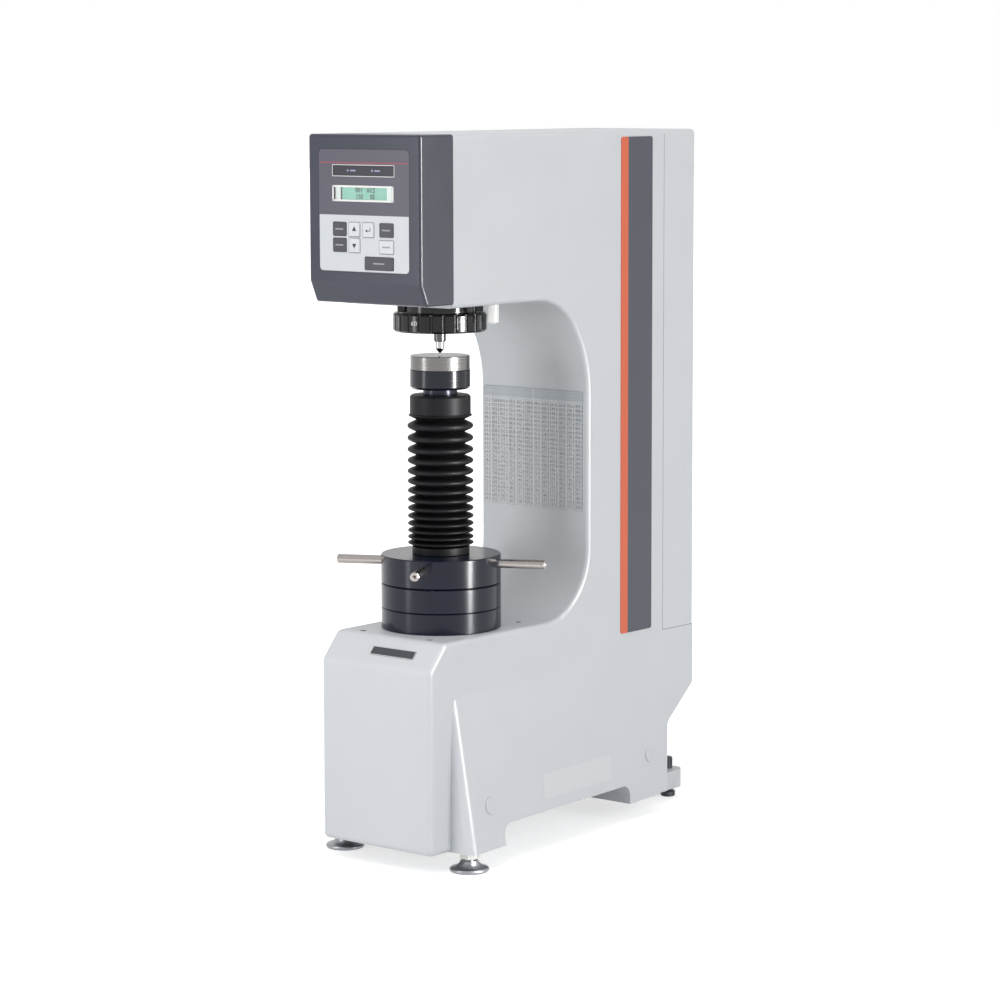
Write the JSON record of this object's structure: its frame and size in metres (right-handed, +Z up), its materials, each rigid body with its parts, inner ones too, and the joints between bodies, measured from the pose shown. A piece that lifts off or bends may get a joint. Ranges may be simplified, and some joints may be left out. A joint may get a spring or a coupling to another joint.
{
  "type": "hardness tester",
  "caption": "Bench hardness tester with a C-shaped frame, keypad head, force dial, indenter, flat anvil on a bellows-covered elevating screw, drum handwheel and levelling feet.",
  "frame": {"origin": "on the bench, under the middle of the machine's outer box", "axes": "+Z up, -Y the front with the display, +X the machine's left-hand side seen from its front-facing display (the viewer's right)"},
  "size_m": [0.2204, 0.5088, 0.78],
  "materials": {
    "casting_paint": "fine orange-peel enamel, very light grey",
    "cover_paint": "fine orange-peel enamel, very light grey",
    "zinc_screws": "bright zinc",
    "dark_housing": "fine-grained dark grey moulding",
    "overlay_film": "satin printed film",
    "display_glass": "clear window",
    "indicator_glass": "smoked strip",
    "display_body": "backlit display",
    "circuit_board": "solder mask",
    "trim_film": "satin stripe, orange at the front edge",
    "plug_plastic": "moulded, same grey as the paint",
    "bronze": "turned bronze",
    "spring_steel": "drawn wire",
    "machined_steel": "turned or milled",
    "hardened_steel": "ground",
    "motor_paint": "black enamel",
    "black_dial": "glossy black",
    "lamp_plastic": "white moulding",
    "black_oxide": "blued steel",
    "blued_drum": "satin blue-black",
    "bellows_rubber": "matt black rubber",
    "sheet_metal": "folded sheet",
    "black_plastic": "moulded",
    "ground_anvil": "ground steel",
    "rod_chrome": "satin chrome",
    "indenter_chrome": "bright",
    "rocker_plastic": "glossy moulding",
    "foot_steel": "plated, turned",
    "stud_steel": "blued steel",
    "key_dark": "satin key cap",
    "key_light": "satin key cap"
  },
  "bodies": {
    "frame": {"frame_casting": "casting_paint", "rear_cover": "cover_paint", "rear_cover_screws": "zinc_screws", "head_cover": "dark_housing", "keypad_overlay": "overlay_film", "display_window": "display_glass", "indicator_strip": "indicator_glass", "display_module": "display_body", "control_board": "circuit_board", "side_trims": "trim_film", "lifting_plugs": "plug_plastic", "spindle_bush": "bronze", "preload_spring": "spring_steel", "fulcrum_bracket": "machined_steel", "fulcrum_pin": "hardened_steel", "drive_motor": "motor_paint", "dial_flange": "black_dial", "work_lamp": "lamp_plastic", "screw_guide": "bronze", "stiffener_plate": "machined_steel", "base_screws": "black_oxide", "base_flange": "blued_drum", "brake_ring": "blued_drum", "lower_race": "hardened_steel", "bellows": "bellows_rubber", "foot_nuts": "zinc_screws", "power_supply": "sheet_metal", "power_inlet": "black_plastic", "switch_frame": "black_plastic"},
    "screw": {"elevating_screw": "machined_steel", "anvil_seat": "black_oxide", "anvil": "ground_anvil", "bellows_collar": "bellows_rubber"},
    "handwheel": {"handwheel": "blued_drum", "handle_rods": "rod_chrome", "elevating_nut": "bronze", "upper_race": "hardened_steel"},
    "ball_cage": {"bearing_balls": "hardened_steel"},
    "force_dial": {"force_dial": "black_dial"},
    "spindle": {"spindle": "hardened_steel", "indenter_holder": "black_oxide", "indenter": "indenter_chrome"},
    "lever": {"main_lever": "machined_steel", "lever_end_pin": "hardened_steel"},
    "weights": {"weight_hanger": "machined_steel", "load_weights": "machined_steel"},
    "lift_cam": {"lift_cam": "hardened_steel"},
    "power_rocker": {"power_rocker": "rocker_plastic"},
    "front_foot_right": {"front_foot_right": "foot_steel"},
    "front_foot_left": {"front_foot_left": "foot_steel"},
    "rear_foot_right": {"rear_foot_right": "stud_steel"},
    "rear_foot_left": {"rear_foot_left": "stud_steel"},
    "key_menu": {"key_menu": "key_dark"},
    "key_mode": {"key_mode": "key_dark"},
    "key_up": {"key_up": "key_light"},
    "key_down": {"key_down": "key_light"},
    "key_enter": {"key_enter": "key_light"},
    "key_reset": {"key_reset": "key_dark"},
    "key_offset": {"key_offset": "key_light"},
    "key_start": {"key_start": "key_dark"}
  },
  "joints": [
    {"name": "handwheel_spin", "type": "hinge", "parent": "frame", "child": "handwheel", "pos_m": [0, -0.1326, 0.2965], "axis": [0, 0, 1], "range_deg": [0, 4500]},
    {"name": "screw_lift", "type": "slide", "parent": "frame", "child": "screw", "axis": [0, 0, 1], "range_m": [-0.1, 0], "deforming": ["bellows"]},
    {"name": "cage_spin", "type": "hinge", "parent": "frame", "child": "ball_cage", "pos_m": [0, -0.1326, 0.2745], "axis": [0, 0, 1], "range_deg": [0, 2250]},
    {"name": "dial_turn", "type": "hinge", "parent": "frame", "child": "force_dial", "pos_m": [0, -0.1326, 0.5686], "axis": [0, 0, 1], "range_deg": [0, 240]},
    {"name": "weight_lift", "type": "slide", "parent": "frame", "child": "weights", "axis": [0, 0, 1], "range_m": [0, 0.00977]},
    {"name": "lever_tilt", "type": "hinge", "parent": "frame", "child": "lever", "pos_m": [0, -0.1466, 0.722], "axis": [1, 0, 0], "range_deg": [0, 2]},
    {"name": "spindle_slide", "type": "slide", "parent": "frame", "child": "spindle", "axis": [0, 0, 1], "range_m": [0, 0.0005], "deforming": ["preload_spring"]},
    {"name": "cam_turn", "type": "hinge", "parent": "frame", "child": "lift_cam", "pos_m": [0, 0.0924, 0.69036], "axis": [1, 0, 0], "continuous": true},
    {"name": "rocker_tilt", "type": "hinge", "parent": "frame", "child": "power_rocker", "pos_m": [-0.006, 0.2264, 0.262], "axis": [1, 0, 0], "range_deg": [0, 16]},
    {"name": "front_right_level", "type": "slide", "parent": "frame", "child": "front_foot_right", "axis": [0, 0, 1], "range_m": [-0.003, 0.002]},
    {"name": "front_left_level", "type": "slide", "parent": "frame", "child": "front_foot_left", "axis": [0, 0, 1], "range_m": [-0.003, 0.002]},
    {"name": "rear_right_level", "type": "slide", "parent": "frame", "child": "rear_foot_right", "axis": [0, 0, 1], "range_m": [-0.003, 0.002]},
    {"name": "rear_left_level", "type": "slide", "parent": "frame", "child": "rear_foot_left", "axis": [0, 0, 1], "range_m": [-0.003, 0.002]},
    {"name": "key_menu_press", "type": "slide", "parent": "frame", "child": "key_menu", "axis": [0, 1, 0], "range_m": [0, 0.0005], "stiffness_N_per_m": 2000},
    {"name": "key_mode_press", "type": "slide", "parent": "frame", "child": "key_mode", "axis": [0, 1, 0], "range_m": [0, 0.0005], "stiffness_N_per_m": 2000},
    {"name": "key_up_press", "type": "slide", "parent": "frame", "child": "key_up", "axis": [0, 1, 0], "range_m": [0, 0.0005], "stiffness_N_per_m": 2000},
    {"name": "key_down_press", "type": "slide", "parent": "frame", "child": "key_down", "axis": [0, 1, 0], "range_m": [0, 0.0005], "stiffness_N_per_m": 2000},
    {"name": "key_enter_press", "type": "slide", "parent": "frame", "child": "key_enter", "axis": [0, 1, 0], "range_m": [0, 0.0005], "stiffness_N_per_m": 2000},
    {"name": "key_reset_press", "type": "slide", "parent": "frame", "child": "key_reset", "axis": [0, 1, 0], "range_m": [0, 0.0005], "stiffness_N_per_m": 2000},
    {"name": "key_offset_press", "type": "slide", "parent": "frame", "child": "key_offset", "axis": [0, 1, 0], "range_m": [0, 0.0005], "stiffness_N_per_m": 2000},
    {"name": "key_start_press", "type": "slide", "parent": "frame", "child": "key_start", "axis": [0, 1, 0], "range_m": [0, 0.0005], "stiffness_N_per_m": 2000}
  ],
  "couplings": [
    {"joint": "screw_lift", "follows": "handwheel_spin", "m_per_rad": -0.0012732},
    {"joint": "cage_spin", "follows": "handwheel_spin", "ratio": 0.5},
    {"joint": "lever_tilt", "follows": "weight_lift", "rad_per_m": 3.5714},
    {"joint": "spindle_slide", "follows": "weight_lift", "ratio": 0.05}
  ]
}
